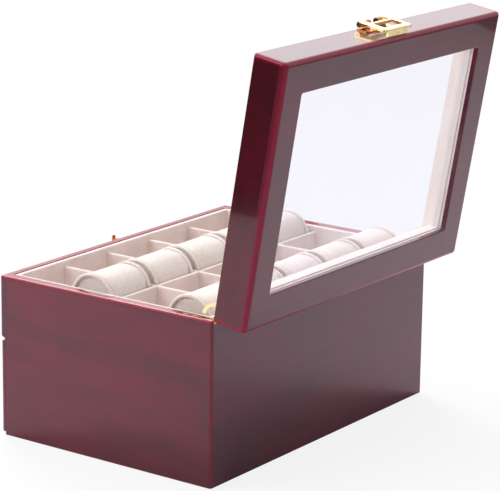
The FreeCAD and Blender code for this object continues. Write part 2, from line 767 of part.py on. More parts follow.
def hinge_leaf(name, side, half, low, high, face, axis):
    body = new_body(name)
    if half == "lid":
        hinge_stay(body, side)
    block(body, "Additive", span(side, leaf_in, leaf_out), (leaf_front, leaf_end), (low, high))
    if half == "case":
        stay_slot(body, side, low - 1, high + 1)
    for near, far in knuckles[half]:
        x = span(side, near, far)
        block(body, "Additive", x, (leaf_end, hinge_y), (low, high))
        rod(body, "Additive", "X", x[0], hinge_y, hinge_z, S["knuckle_radius"], far - near)
        rod(body, "Subtractive", "X", x[0] - 0.5, hinge_y, hinge_z,
            S["pin_radius"] + S["pin_fit"], far - near + 1)
    for y in hinge_screw_y:
        countersink(body, axis, sided(side, screw_x), y, face)
    return body


for word, side in SIDES:
    keep(hinge_leaf("CaseLeaf" + word.title(), side, "case", rim - S["leaf"], rim, rim, "-Z"),
         "hinge_case_leaf_" + word)
pins = []
for side in (1, -1):
    pin = doc.addObject("Part::Cylinder", "HingePin")
    pin.Placement = FreeCAD.Placement(V(), TURNS["X"])
    bind(pin, "Radius", S["pin_radius"])
    bind(pin, "Height", S["leaf_width"])
    bind_base(pin, span(side, leaf_in, leaf_out)[0], hinge_y, hinge_z)
    pins.append(pin)
group("hinge_pins", pins)


def screw(axis, x, y, z):
    """A countersunk screw whose head is flush at x, y, z and that runs along axis."""
    head = doc.addObject("Part::Cone", "ScrewHead")
    head.Placement = FreeCAD.Placement(V(), TURNS[axis])
    bind(head, "Radius1", S["screw_head"])
    bind(head, "Radius2", S["screw_shank"])
    bind(head, "Height", S["screw_sink"])
    bind_base(head, x, y, z)
    shank = doc.addObject("Part::Cylinder", "ScrewShank")
    shank.Placement = FreeCAD.Placement(V(), TURNS[axis])
    bind(shank, "Radius", S["screw_shank"])
    bind(shank, "Height", S["screw_length"])
    bind_base(shank, x, y, z)
    both = doc.addObject("Part::Fuse", "Screw")
    both.Base = head
    both.Tool = shank
    return both


# Catch on the case: a plate with a stud for the ring and a guide prong above it.
catch_y = -half_depth - S["catch_plate"]
catch_top = rim - S["catch_drop"]
catch = new_body("Catch")
sketch = new_sketch(catch, "XZ_Plane", half_depth)
rectangle(sketch, -S["catch_half_width"], S["catch_half_width"],
          catch_top - S["catch_height"], catch_top)
pad(catch, sketch, S["catch_plate"])
fillet(catch, S["plate_corner"], *({"x": x, "z": z} for x in (-S["catch_half_width"],
       S["catch_half_width"]) for z in (catch_top - S["catch_height"], catch_top)))
stud_low = latch_z - S["latch_length"] + S["latch_free_bar"] + S["stud_play"]
half_stud = S["stud_width"] / 2
block(catch, "Additive", (-half_stud, half_stud), (catch_y - S["stud_reach"], catch_y),
      (stud_low, stud_low + S["stud_height"]))
half_prong = S["prong_width"] / 2
prong_front = -half_depth - S["prong_reach"]
block(catch, "Additive", (-half_prong, half_prong), (prong_front, catch_y),
      (catch_top - S["prong_root"], catch_top))
block(catch, "Additive", (-half_prong, half_prong), (prong_front, prong_front + S["prong"]),
      (catch_top - S["prong_root"], rim + S["prong_tip_rise"]))
for side in (1, -1):
    countersink(catch, "Y", sided(side, S["catch_screw_out"]), catch_y, catch_screw_z)
keep(catch, "catch_plate")

case_screws = [screw("-Z", sided(side, screw_x), y, rim)
               for side in (1, -1) for y in hinge_screw_y]
case_screws += [screw("Y", sided(side, S["catch_screw_out"]), catch_y, catch_screw_z)
                for side in (1, -1)]
group("case_brass_screws", case_screws)

# Lid: four mitred walls under one flat frame.
lid_ring = outline_ring("LidRing", lid_low, frame_low, None, ())
latch_screw_z = lid_low + S["latch_screw_rise"]
latch_plate_y = -half_depth - S["latch_plate"]
for side in (1, -1):
    hinge_recess(lid_ring, side, lid_low - 1, lid_low + S["leaf"] + S["leaf_fit"])
    for y in hinge_screw_y:
        screw_hole(lid_ring, "Z", sided(side, screw_x), y, lid_low)
    screw_hole(lid_ring, "Y", sided(side, S["latch_screw_out"]), latch_plate_y, latch_screw_z)
for word, side in SIDES:
    points = [(sided(side, x), y) for x, y in (
        (near_x, -near_y), (far_x, -far_y), (far_x, far_y), (near_x, near_y))]
    tool = wedge("Lid" + word.title() + "Wedge", points, lid_low - 1, frame_low + 1)
    swing(shared("lid_%s_wall" % word, lid_ring, tool))
for word, side in (("back", 1), ("front", -1)):
    points = [(x, sided(side, y)) for x, y in (
        (-far_x, far_y), (-near_x, near_y), (near_x, near_y), (far_x, far_y))]
    tool = wedge("Lid" + word.title() + "Wedge", points, lid_low - 1, frame_low + 1)
    swing(shared("lid_%s_wall" % word, lid_ring, tool))

frame = body_block("TopFrame", (-half_width, half_width), (-half_depth, half_depth),
                   (frame_low, lid_top))
block(frame, "Subtractive", (-window_x, window_x), (-window_y, window_y),
      (frame_low - 1, lid_top + 1))
fillet(frame, S["corner_round"],
       {"x": half_width, "y": half_depth}, {"x": -half_width, "y": half_depth},
       {"x": half_width, "y": -half_depth}, {"x": -half_width, "y": -half_depth})
fillet(frame, S["window_corner"],
       {"x": window_x, "y": window_y}, {"x": -window_x, "y": window_y},
       {"x": window_x, "y": -window_y}, {"x": -window_x, "y": -window_y})
fillet(frame, S["lid_round"], {"x": half_width, "z": lid_top}, {"y": half_depth, "z": lid_top},
       {"x": -half_width, "z": lid_top}, {"y": -half_depth, "z": lid_top})
fillet(frame, S["window_round"], {"x": window_x, "z": lid_top}, {"y": window_y, "z": lid_top},
       {"x": -window_x, "z": lid_top}, {"y": -window_y, "z": lid_top})
pane_x = window_x + S["glass_cover"]
pane_y = window_y + S["glass_cover"]
slack = S["glass_fit"]
block(frame, "Subtractive", (-pane_x - slack, pane_x + slack), (-pane_y - slack, pane_y + slack),
      (frame_low - 1, glass_top))
swing(keep(frame, "lid_top_frame"))

swing(keep(body_block("Glass", (-pane_x, pane_x), (-pane_y, pane_y), (glass_low, glass_top)),
           "glass_pane"))

bead_x = window_x + S["bead_cover"]
bead_y = window_y + S["bead_cover"]
show = S["bead_show"]
bead = body_block("Bead", (-bead_x, bead_x), (-bead_y, bead_y), (bead_low, frame_low))
block(bead, "Subtractive", (show - window_x, window_x - show),
      (show - window_y, window_y - show), (bead_low - 1, frame_low + 1))
block(bead, "Subtractive", (-pane_x - slack, pane_x + slack), (-pane_y - slack, pane_y + slack),
      (glass_low, frame_low + 1))
swing(keep(bead, "glass_bead"))

lid_lined_x = inner_x - S["lid_lining"]
lid_lined_y = inner_y - S["lid_lining"]
lining_low = lid_low + S["lid_lining_drop"]
strips = [board("LidLining", span(side, lid_lined_x, inner_x), (-lid_lined_y, lid_lined_y),
                (lining_low, frame_low)) for side in (1, -1)]
strips += [board("LidLining", (-inner_x, inner_x), span(side, lid_lined_y, inner_y),
                 (lining_low, frame_low)) for side in (1, -1)]
swing(group("lid_linings", strips))

for word, side in SIDES:
    swing(keep(hinge_leaf("LidLeaf" + word.title(), side, "lid", lid_low,
                          lid_low + S["leaf"], lid_low, "Z"), "hinge_lid_leaf_" + word))

# Latch: a plate with two pairs of lugs on the lid, and a ring that swings on it.
half_ring = S["latch_width"] / 2
half_plate = half_ring + S["latch_plate_extra"]
plate_low = lid_low + S["latch_plate_low"]
plate_high = plate_low + S["latch_plate_rise"]
split = S["latch_split"]
lug_in, lug_out = S["latch_gap"], split
plate = new_body("LatchPlate")
sketch = new_sketch(plate, "XZ_Plane", half_depth)
rectangle(sketch, -half_plate, half_plate, plate_low, plate_high)
pad(plate, sketch, S["latch_plate"])
fillet(plate, S["plate_corner"], *({"x": x, "z": z} for x in (-half_plate, half_plate)
       for z in (plate_low, plate_high)))
for side in (1, -1):
    x = span(side, lug_in, lug_out)
    block(plate, "Additive", x, (latch_y, latch_plate_y),
          (plate_low, latch_z + S["latch_knuckle"]))
    rod(plate, "Additive", "X", x[0], latch_y, latch_z, S["latch_knuckle"], lug_out - lug_in)
    rod(plate, "Subtractive", "X", x[0] - 0.05, latch_y, latch_z, S["latch_pin_radius"],
        lug_out - lug_in + 0.1)
for side in (1, -1):
    countersink(plate, "Y", sided(side, S["latch_screw_out"]), latch_plate_y, latch_screw_z)
swing(keep(plate, "latch_base_plate"))

ring_knuckle_in = split + S["latch_clear"] * 2
ring_knuckle_out = half_ring - S["latch_offset"]
latch_pins = []
for side in (1, -1):
    x = span(side, lug_in, ring_knuckle_out)
    pin = doc.addObject("Part::Cylinder", "LatchPin")
    pin.Placement = FreeCAD.Placement(V(), TURNS["X"])
    bind(pin, "Radius", S["latch_pin_radius"])
    bind(pin, "Height", ring_knuckle_out - lug_in)
    bind_base(pin, x[0], latch_y, latch_z)
    latch_pins.append(pin)
swing(group("latch_pins", latch_pins))

lid_screws = [screw("Z", sided(side, screw_x), y, lid_low)
              for side in (1, -1) for y in hinge_screw_y]
lid_screws += [screw("Y", sided(side, S["latch_screw_out"]), latch_plate_y, latch_screw_z)
               for side in (1, -1)]
swing(group("lid_brass_screws", lid_screws))

# The ring is drawn turned up against the lid's front.
sheet_back = latch_y - S["latch_offset"]
sheet_front = sheet_back - S["latch_sheet"]
ring_top = latch_z + S["latch_length"]
ring = new_body("Ring")
sketch = new_sketch(ring, "XZ_Plane", -sheet_back)
rectangle(sketch, -half_ring, half_ring, latch_z, ring_top)
pad(ring, sketch, S["latch_sheet"])
window = half_ring - S["latch_side_bar"]
bar_low = latch_z + S["latch_bar_start"]
bar_high = bar_low + S["latch_far_bar"]
free_low = ring_top - S["latch_free_bar"]
fillet(ring, S["ring_corner"], {"x": half_ring, "z": ring_top}, {"x": -half_ring, "z": ring_top})
fillet(ring, S["ring_edge"], {"y": sheet_front, "z": ring_top})
block(ring, "Subtractive", (-window, window), (sheet_front - 1, sheet_back + 1),
      (bar_high, free_low))
block(ring, "Subtractive", (-window, window), (sheet_front - 1, sheet_back + 1),
      (latch_z - 1, bar_low))
block(ring, "Additive", (-window, window), (sheet_back, latch_y + S["latch_lip_drop"]),
      (ring_top - S["latch_lip"], ring_top - S["ring_edge"]))
for side in (1, -1):
    x = span(side, ring_knuckle_in, ring_knuckle_out)
    rod(ring, "Additive", "X", x[0], latch_y, latch_z, S["latch_knuckle"],
        ring_knuckle_out - ring_knuckle_in)
for side in (1, -1):
    x = span(side, ring_knuckle_in, ring_knuckle_out)
    rod(ring, "Subtractive", "X", x[0] - 0.05, latch_y, latch_z,
        S["latch_pin_radius"] + S["pin_fit"], ring_knuckle_out - ring_knuckle_in + 0.1)
swing(keep(ring, "latch_ring"))

# Drawer.
face = new_body("DrawerFace")
sketch = new_sketch(face, "XZ_Plane", drawer_face_back + S["drawer_tongue"])
rectangle(sketch, -half_width, half_width, face_low, face_high)
pad(face, sketch, S["drawer_lip"])
fillet(face, S["drawer_front_round"],
       {"y": -half_depth, "z": face_high}, {"y": -half_depth, "z": face_low},
       {"y": -half_depth, "x": half_width}, {"y": -half_depth, "x": -half_width})
block(face, "Additive", (-drawer_x, drawer_x), (-half_depth + S["drawer_lip"], -drawer_face_back),
      (drawer_low, drawer_top))
knob_hole = S["knob_screw_radius"] + S["screw_fit"]
rod(face, "Subtractive", "Y", 0, -half_depth - 1, knob_z, knob_hole, S["drawer_lip"] * 3)
keep(face, "drawer_front")
for word, side in SIDES:
    keep(board("DrawerSide" + word.title(), span(side, drawer_in_x, drawer_x),
               (-drawer_face_back, drawer_back), (drawer_low, drawer_top)),
         "drawer_%s_side" % word)
inner = body_block("DrawerInner", (-drawer_in_x, drawer_in_x),
                   (-drawer_face_back, -drawer_in_front), (drawer_low, drawer_top))
rod(inner, "Subtractive", "Y", 0, -drawer_face_back - 1, knob_z, knob_hole,
    S["drawer_end"] + 2)
keep(inner, "drawer_inner_front")
keep(board("DrawerBack", (-drawer_in_x, drawer_in_x), (drawer_in_back, drawer_back),
           (drawer_low, drawer_top)), "drawer_back")
keep(board("DrawerBottom", (-drawer_in_x, drawer_in_x), (-drawer_in_front, drawer_in_back),
           (drawer_low, drawer_floor_top)), "drawer_bottom")
keep(board("DrawerPad", (-drawer_in_x, drawer_in_x), (-drawer_in_front, drawer_in_back),
           (drawer_floor_top, drawer_pad_top)), "drawer_floor_pad")
drawer_pitch = drawer_in_x * 2 / 5
drawer_middle = (drawer_in_back - drawer_in_front) / 2
members = [long_divider("DrawerLong", drawer_in_x, drawer_middle, drawer_pad_top, drawer_pitch)]
for number, step in enumerate((-1.5, -0.5, 0.5, 1.5), start=1):
    members.append(cross_divider("DrawerCross%d" % number, drawer_pitch * step,
                                 -drawer_in_front, drawer_in_back, drawer_middle,
                                 drawer_pad_top))
group("drawer_dividers", members)
drawer_pillow_length = drawer_pitch - S["divider"] - S["drawer_pillow_gap"] * 2
drawer_pillow = pillow_shape(drawer_pillow_length.value)
for word, y in (("front", drawer_middle - half_divider - half_pillow),
                ("back", drawer_in_back - half_pillow)):
    group("drawer_pillows_%s_row" % word, [
        pillow("DrawerPillow", drawer_pillow, drawer_pitch * step, y,
               drawer_pad_top + S["pillow_seat"]) for step in (-2, -1, 0, 1, 2)])

# Turned knob: rosette against the drawer face, neck, ball with a flat face.
rosette = new_body("Rosette")
rod(rosette, "Additive", "-Y", 0, -half_depth, knob_z, S["rosette_radius"], S["rosette"])
fillet(rosette, S["rosette"] / 2, {"y": -half_depth - S["rosette"]})
rod(rosette, "Subtractive", "-Y", 0, -half_depth + 1, knob_z, knob_hole, S["rosette"] + 2)
keep(rosette, "knob_rosette")
knob_back = half_depth + S["rosette"]
ball_y = knob_back + S["neck_length"] + S["knob_radius"] * 0.7
knob = new_body("Knob")
rod(knob, "Additive", "-Y", 0, -knob_back, knob_z, S["neck_radius"], ball_y - knob_back)
ball = knob.newObject("PartDesign::AdditiveSphere", "Ball")
ball.MapMode = "Deactivated"
bind(ball, "Radius", S["knob_radius"])
bind_base(ball, 0, -ball_y, knob_z)
face_cut = ball_y + S["knob_radius"] * 0.85
block(knob, "Subtractive", (-S["knob_radius"], S["knob_radius"]),
      (-face_cut - S["knob_radius"], -face_cut),
      (knob_z - S["knob_radius"], knob_z + S["knob_radius"]))
rod(knob, "Subtractive", "-Y", 0, -knob_back + 1, knob_z, knob_hole, S["knob_grip"] + 1)
keep(knob, "drawer_knob")
shank = doc.addObject("Part::Cylinder", "KnobShank")
shank.Placement = FreeCAD.Placement(V(), TURNS["-Y"])
bind(shank, "Radius", S["knob_screw_radius"])
bind(shank, "Height", knob_back + S["knob_grip"] - drawer_in_front - 0.2)
bind_base(shank, 0, -drawer_in_front, knob_z)
head = doc.addObject("Part::Cylinder", "KnobHead")
head.Placement = FreeCAD.Placement(V(), TURNS["Y"])
bind(head, "Radius", S["knob_head_radius"])
bind(head, "Height", S["knob_head"])
bind_base(head, 0, -drawer_in_front, knob_z)
knob_screw = doc.addObject("Part::Fuse", "KnobScrew")
knob_screw.Base = head
knob_screw.Tool = shank
keep(knob_screw, "knob_screw")

doc.recompute()
problems = []
for thing in doc.Objects:
    if "Invalid" in thing.State or "Error" in thing.State:
        problems.append("%s %s: %s" % (thing.Name, thing.Label, thing.State))
for thing in nodes:
    if thing.Shape.isNull() or not thing.Shape.isValid() or not thing.Shape.Solids:
        problems.append(thing.Label + ": bad shape")
if len({thing.Label for thing in nodes}) != len(nodes):
    problems.append("two sub-parts share a name")
if problems:
    raise RuntimeError("; ".join(problems))

os.makedirs("parts", exist_ok=True)
for thing in nodes:
    thing.Shape.exportStep("parts/%s.step" % thing.Label)
print(len(nodes), "sub-parts written")
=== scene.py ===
"""Watch box with a glass lid, a velvet tray of watch pillows and a drawer."""
import json
import math

import bmesh
import bpy
from bpy.props import FloatProperty, FloatVectorProperty, PointerProperty
from mathutils import Matrix, Vector, noise


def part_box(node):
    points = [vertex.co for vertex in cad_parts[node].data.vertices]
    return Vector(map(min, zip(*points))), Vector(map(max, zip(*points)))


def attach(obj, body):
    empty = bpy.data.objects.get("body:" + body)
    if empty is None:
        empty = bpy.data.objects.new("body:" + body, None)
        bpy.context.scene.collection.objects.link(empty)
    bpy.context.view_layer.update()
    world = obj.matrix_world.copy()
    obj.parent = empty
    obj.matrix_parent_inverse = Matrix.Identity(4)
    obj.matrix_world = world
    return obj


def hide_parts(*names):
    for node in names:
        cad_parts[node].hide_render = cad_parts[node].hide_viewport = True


bl_info = {
    "name": "Watch Box with Drawer",
    "version": (1, 0, 0),
    "blender": (4, 5, 0),
    "location": "View3D > Sidebar > Watch Box",
    "description": "Dresses a lacquered watch box: wood, velvet, pillows, brass and glass",
    "category": "Object",
}

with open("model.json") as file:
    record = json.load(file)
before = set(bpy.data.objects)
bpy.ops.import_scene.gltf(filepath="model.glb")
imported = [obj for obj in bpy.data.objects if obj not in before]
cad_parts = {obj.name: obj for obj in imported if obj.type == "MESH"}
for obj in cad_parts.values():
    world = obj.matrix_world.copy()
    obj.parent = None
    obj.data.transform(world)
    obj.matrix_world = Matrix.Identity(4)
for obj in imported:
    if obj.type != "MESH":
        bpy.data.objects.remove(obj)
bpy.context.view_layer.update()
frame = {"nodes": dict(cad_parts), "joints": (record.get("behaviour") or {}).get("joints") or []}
NODES = frame["nodes"]

# Places that several pieces and finishes share, in metres, taken from the solids.
SIDE_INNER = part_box("right_side_panel")[0].x
FRONT_LOW, FRONT_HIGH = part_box("upper_front_panel")
HALF_WIDTH = FRONT_HIGH.x
HALF_DEPTH = -FRONT_LOW.y
RIM = FRONT_HIGH.z
LID_JOINT = next(joint for joint in frame["joints"] if joint["name"] == "lid_hinge")
HINGE = Vector(LID_JOINT["pos_m"])
OPEN = math.radians(LID_JOINT["range_deg"][1])

WHITE = (1.0, 1.0, 1.0)
TOUCHING = 0.000001     # metres: points nearer to each other than this are one


def about_hinge(point, angle):
    """Where a point of the lid lies after a turn about the hinge."""
    return Matrix.Rotation(angle, 3, "X") @ (Vector(point) - HINGE) + HINGE


def as_shut(point):
    """Where a point of the open lid lies once the lid is shut."""
    return about_hinge(point, OPEN)


def as_open(point):
    """Where a point of the shut lid lies once the lid is open."""
    return about_hinge(point, -OPEN)


# The lid's finishes are laid out on the shut lid, so their coordinates turn with it.
LID_TURN = {"Location": tuple(as_shut((0.0, 0.0, 0.0))), "Rotation": (OPEN, 0.0, 0.0)}


class Value:
    """A node socket that Python's own operators build shader maths on."""

    def __init__(self, shader, socket):
        self.shader = shader
        self.socket = socket

    def _math(self, operation, *values):
        return self.shader.node("Math", {"operation": operation}, dict(enumerate(values)))

    def __add__(self, other):
        return self._math("ADD", self, other)

    def __radd__(self, other):
        return self._math("ADD", other, self)

    def __sub__(self, other):
        return self._math("SUBTRACT", self, other)

    def __rsub__(self, other):
        return self._math("SUBTRACT", other, self)

    def __mul__(self, other):
        return self._math("MULTIPLY", self, other)

    def __rmul__(self, other):
        return self._math("MULTIPLY", other, self)

    def __pow__(self, other):
        return self._math("POWER", self, other)

    def __rpow__(self, other):
        return self._math("POWER", other, self)

    def __abs__(self):
        return self._math("ABSOLUTE", self)

    def max(self, other):
        """The larger of two values."""
        return self._math("MAXIMUM", self, other)

    def step(self, start, end):
        """0 at start, 1 at end, with a smooth run between."""
        return self.shader.node(
            "MapRange", {"interpolation_type": "SMOOTHSTEP"},
            {"Value": self, "From Min": start, "From Max": end})

    def near(self, face, start, whole):
        """0 at a distance of start short of a face, 1 at the distance whole."""
        return self.step(face - start, face - whole)


# A Mix node's colour sockets, which share their names with its other kinds.
MIX_AMOUNT, MIX_LOW, MIX_HIGH, MIX_RESULT = 0, 6, 7, 2


class Shader:
    """The nodes of a material, or of the world, under construction."""

    def __init__(self, name, library="materials"):
        self.owner = getattr(bpy.data, library).new(name)
        self.owner.use_nodes = True
        self.tree = self.owner.node_tree
        self.tree.nodes.clear()

    def node(self, kind, settings=None, inputs=None, output=0):
        """Add one node, set it up, feed its sockets and hand back an output.

        With a tuple of outputs it hands back a list of them, none for an empty one.
        """
        made = self.tree.nodes.new("ShaderNode" + kind)
        for key, setting in (settings or {}).items():
            setattr(made, key, setting)
        for key, value in (inputs or {}).items():
            socket = made.inputs[key]
            if isinstance(value, Value):
                self.tree.links.new(value.socket, socket)
            elif socket.type == "RGBA":
                socket.default_value = (*value, 1.0)
            else:
                socket.default_value = value
        if isinstance(output, tuple):
            return [Value(self, made.outputs[key]) for key in output]
        return Value(self, made.outputs[output])

    def mapped(self, point, **changes):
        """A point stretched by Scale, turned by Rotation and moved by Location."""
        return self.node("Mapping", {"vector_type": "POINT"}, {"Vector": point, **changes})

    def place(self, **changes):
        """The object's own coordinates, as they are or mapped."""
        point = self.node("TexCoord", output="Object")
        return self.mapped(point, **changes) if changes else point

    def axes(self, point):
        """A point's three coordinates, each by itself."""
        return self.node("SeparateXYZ", inputs={"Vector": point}, output=("X", "Y", "Z"))

    def rays(self, *kinds):
        """For each kind of ray, 1 where the surface is met by one."""
        return self.node("LightPath", output=tuple("Is %s Ray" % kind for kind in kinds))

    def noise(self, point, scale, detail, roughness, distortion=0.0):
        """Noise from 0 to 1, finer with a larger scale."""
        return self.node("TexNoise", inputs={
            "Vector": point, "Scale": scale, "Detail": detail, "Roughness": roughness,
            "Distortion": distortion}, output="Fac")

    def blend(self, amount, low, high):
        """A colour between two others."""
        return self.node("Mix", {"data_type": "RGBA"}, {
            MIX_AMOUNT: amount, MIX_LOW: low, MIX_HIGH: high}, MIX_RESULT)

    def mix(self, amount, first, second):
        """One surface where amount is 0, another where it is 1."""
        return self.node("MixShader", inputs={0: amount, 1: first, 2: second})

    def bump(self, height, distance, strength):
        """A normal bent by a height, which is distance metres at 1."""
        return self.node("Bump", inputs={
            "Height": height, "Distance": distance, "Strength": strength}, output="Normal")

    def finish(self, surface, end="OutputMaterial"):
        """Join a surface to the output and hand back what it was made for."""
        self.node(end, inputs={"Surface": surface}, output=())
        return self.owner

    def principled(self, **inputs):
        """A material with one Principled surface, its sockets named in small letters."""
        named = {key.replace("_", " ").title().replace("Ior", "IOR"): value
                 for key, value in inputs.items()}
        return self.finish(self.node("BsdfPrincipled", inputs=named))


def settings():
    """The colours and sizes that the panel shows."""
    return bpy.context.scene.watch_box


def paint(material, *names):
    """Give whole solids one material."""
    for name in names:
        mesh = NODES[name].data
        mesh.materials.clear()
        mesh.materials.append(material)


def nodes_from(start):
    """Names of the solids that begin with the same words."""
    return [name for name in NODES if name.startswith(start)]


def along_grain(grain, stretch):
    """Scales of a pattern that differs only along the grain's axis."""
    return tuple(stretch if axis == grain else 1.0 for axis in "XYZ")


def darker(colour, share):
    """A colour with every channel cut to a share."""
    return tuple(channel * share for channel in colour)


# The figure of the veneer, layer by layer: its stretch along the grain (below 1 draws it
# out), the noise's scale, detail, roughness and distortion, and a shift of its own.
VENEER_LAYERS = (
    (0.16, 40.0, 3.0, 0.55, 0.9, 0.0),      # belts
    (0.10, 210.0, 3.0, 0.55, 0.4, 0.3),     # streaks
    (0.05, 900.0, 2.0, 0.6, 0.2, 0.6),      # pores
    (0.60, 19.0, 3.0, 0.5, 0.5, 0.9),       # clouds
    (2.6, 60.0, 3.0, 0.55, 0.6, 1.4),       # ribbons across the grain
    (0.6, 30.0, 1.0, 0.4, 0.0, 2.2))        # ripple in the lacquer
FIGURE_CONTRAST = (0.38, 0.62)
PORE_CONTRAST = (0.35, 0.70)

# Where the lacquer turns red, as distances from a face: where the red begins and where
# it is whole. A negative distance lies past the face. Along the edges and the rim this
# red is partly the thinner lacquer over the red stain and partly painted light, for the
# highlights and darker surroundings that the rounding mirrors.
EDGE_WHOLE = 0.45       # of the edge's band
RIM_RED = (0.0012, 0.0003)
SCOOP_INNER = (-0.0004, -0.0012)
SCOOP_OUTER = (0.0008, 0.0002)
SCOOP_RIM = (0.0007, 0.0002)
# How strong the red is on the rim, and along the edges, where the streaks add to it.
RIM_STRENGTH, EDGE_STRENGTH, EDGE_STREAKS = 0.85, 0.80, 0.25

# The lacquer: its clear coat, what an edge loses of it, the haze under it, which the
# figure and the bare scoops add to, and the tint of what it mirrors head-on.
COAT, EDGE_LOSS, COAT_ROUGHNESS, COAT_IOR = 0.55, 0.40, 0.04, 1.52
WOOD_HAZE, FIGURE_HAZE, SCOOP_HAZE = 0.285, 0.03, 0.45
LID_SIDE_HAZE = 0.10
WOOD_GLOSS = (1.0, 0.42, 0.82)
CASE_SIDE_GLOSS = (1.0, 0.38, 0.58)
LID_SIDE_GLOSS = (1.0, 0.40, 0.55)


def lacquered_wood(name, grain, top, seed, turn=None, band=None, depth=1.0, upright=1.0,
                   rim=False, scoop=False, gloss=WOOD_GLOSS, haze=WOOD_HAZE):
    """Clear lacquer over stained cherry veneer, redder along its rounded edges: partly the
    thinner lacquer over the red stain, partly painted light for the highlights and darker
    surroundings that the rounding mirrors.

    The figure runs along the axis grain and is moved by seed, and turn lays it out on the
    shut lid. top is the height of the upper face, band the width of the red along the
    edges, upright its strength on upright ones, and depth is painted shade: the share of
    the veneer's colour kept on faces that get less light. rim reddens the case's rim, and
    scoop the finger scoops cut in it. gloss tints what the wood mirrors head-on, and haze
    is its roughness under the clear coat.
    """
    look = settings()
    band = look.edge_band if band is None else band
    shader = Shader(name)
    place = shader.place(**(turn or {}))

    def figured(stretch, scale, detail, roughness, distortion, shift):
        spot = shader.mapped(
            place, Location=(seed + shift, seed * 0.7 - shift, seed * 1.3),
            Scale=along_grain(grain, stretch))
        return shader.noise(spot, scale, detail, roughness, distortion)

    belts, streaks, pores, clouds, ribbons, ripple = (
        figured(*layer) for layer in VENEER_LAYERS)
    figure = (belts * 0.42 + streaks * 0.14 + clouds * 0.28 + ribbons * 0.16).step(
        *FIGURE_CONTRAST)
    tone = figure * 0.90 + pores.step(*PORE_CONTRAST) * 0.10
    # depth paints shade into both colours of the figure.
    face = shader.blend(tone, darker(look.veneer_dark, depth), darker(look.veneer_red, depth))

    across, along, up = shader.axes(place)
    across, along = abs(across), abs(along)
    side, end, upper = (
        reach.near(outside, band, band * EDGE_WHOLE)
        for reach, outside in ((across, HALF_WIDTH), (along, HALF_DEPTH), (up, top)))
    edge = (side * end * upright).max(side * upper).max(end * upper)
    if rim:
        edge = edge.max(up.near(RIM, *RIM_RED) * RIM_STRENGTH)
    if scoop:
        hollow = (across.near(SIDE_INNER, *SCOOP_INNER)
                  * (1.0 - across.near(HALF_WIDTH, *SCOOP_OUTER))
                  * (1.0 - up.near(RIM, *SCOOP_RIM)))
        edge = edge.max(hollow)
    # The red along the edges and rim is partly painted light, partly the thinner lacquer over
    # the stain.
    red = edge * (EDGE_STRENGTH + streaks * EDGE_STREAKS)
    colour = shader.blend(red, face, look.edge_red)
    coat = COAT - edge * EDGE_LOSS
    roughness = haze + tone * FIGURE_HAZE
    if scoop:
        colour = shader.blend(hollow, colour, look.scoop_red)
        coat = coat * (1.0 - hollow)
        roughness = roughness + hollow * SCOOP_HAZE
    return shader.principled(
        base_color=colour,
        roughness=roughness,
        specular_ior_level=0.5,
        specular_tint=gloss,
        coat_weight=coat,
        coat_roughness=COAT_ROUGHNESS,
        coat_ior=COAT_IOR,
        normal=shader.bump(ripple, distance=0.0003, strength=0.18))


def velvet(name, colour, shade, nap=1.0, tufts=1300.0, evenness=0.5):
    """Short-pile cloth glued over board, brushed a little unevenly.

    nap is how much the pile stands, tufts how fine it is, and evenness the share of
    the broad brushing in its tone, the rest of which is the pile's own.
    """
    shader = Shader(name)
    place = shader.place()
    brushed = shader.noise(place, scale=42.0, detail=3.0, roughness=0.55, distortion=0.4)
    pile = shader.noise(place, scale=tufts, detail=3.0, roughness=0.7)
    tone = (brushed * evenness + pile * (1.0 - evenness)).step(0.36, 0.64)
    return shader.principled(
        base_color=shader.blend(tone, shade, colour),
        roughness=0.92,
        specular_ior_level=0.10,
        sheen_weight=0.12 * nap,
        sheen_roughness=0.5,
        sheen_tint=(1.0, 0.97, 0.95),
        normal=shader.bump(pile * 0.7 + brushed * 0.3, distance=0.0005, strength=0.50 * nap))


def lid_cloth(name):
    """The velvet inside the lid and on its bead: the tray's velvet painted paler, as painted
    light for the light that hardly reaches into the lid.
    """
    look = settings()
    return velvet(name, look.lid_velvet, look.lid_velvet_shade)


BRASS_PAINTED_DARKENING = (0.55, 0.86, 0.93)   # what the full painted reflection and shade take from red, green and blue
BRASS_TARNISH = (0.86, 0.76, 0.58)  # what tarnish leaves of them


def polished_brass(name, reflection_and_shade=0.0):
    """Yellow brass, made browner and redder by painted reflection of the red lacquer and painted
    shade, as strong as the last argument asks.
    """
    shader = Shader(name)
    tarnish = shader.noise(shader.place(), scale=210.0, detail=4.0, roughness=0.6)
    scuffs = shader.noise(shader.place(Scale=along_grain("Y", 6.0)), scale=900.0,
                          detail=3.0, roughness=0.6)
    # Painted reflection and shade: the brass is made browner and redder, as if it mirrored the
    # red lacquer from a shaded recess.
    untarnished = tuple(channel * (1.0 - reflection_and_shade * loss)
                  for channel, loss in zip(settings().brass, BRASS_PAINTED_DARKENING))
    deep = tuple(channel * share for channel, share in zip(untarnished, BRASS_TARNISH))
    return shader.principled(
        base_color=shader.blend(tarnish.step(0.45, 0.75), untarnished, deep),
        metallic=1.0,
        roughness=0.10 + scuffs * 0.10 + tarnish * 0.05,
        normal=shader.bump(tarnish, distance=0.0001, strength=0.15))


def brushed_steel(name):
    """Plain grey steel."""
    shader = Shader(name)
    brushed = shader.noise(shader.place(), scale=700.0, detail=3.0, roughness=0.6)
    return shader.principled(
        base_color=shader.blend(brushed, (0.42, 0.42, 0.44), (0.60, 0.60, 0.62)),
        metallic=1.0,
        roughness=0.28 + brushed * 0.15)


GLASS_TINT = (0.968, 0.962, 0.997)
GLASS_SHINE = (0.96, 0.97, 1.0)


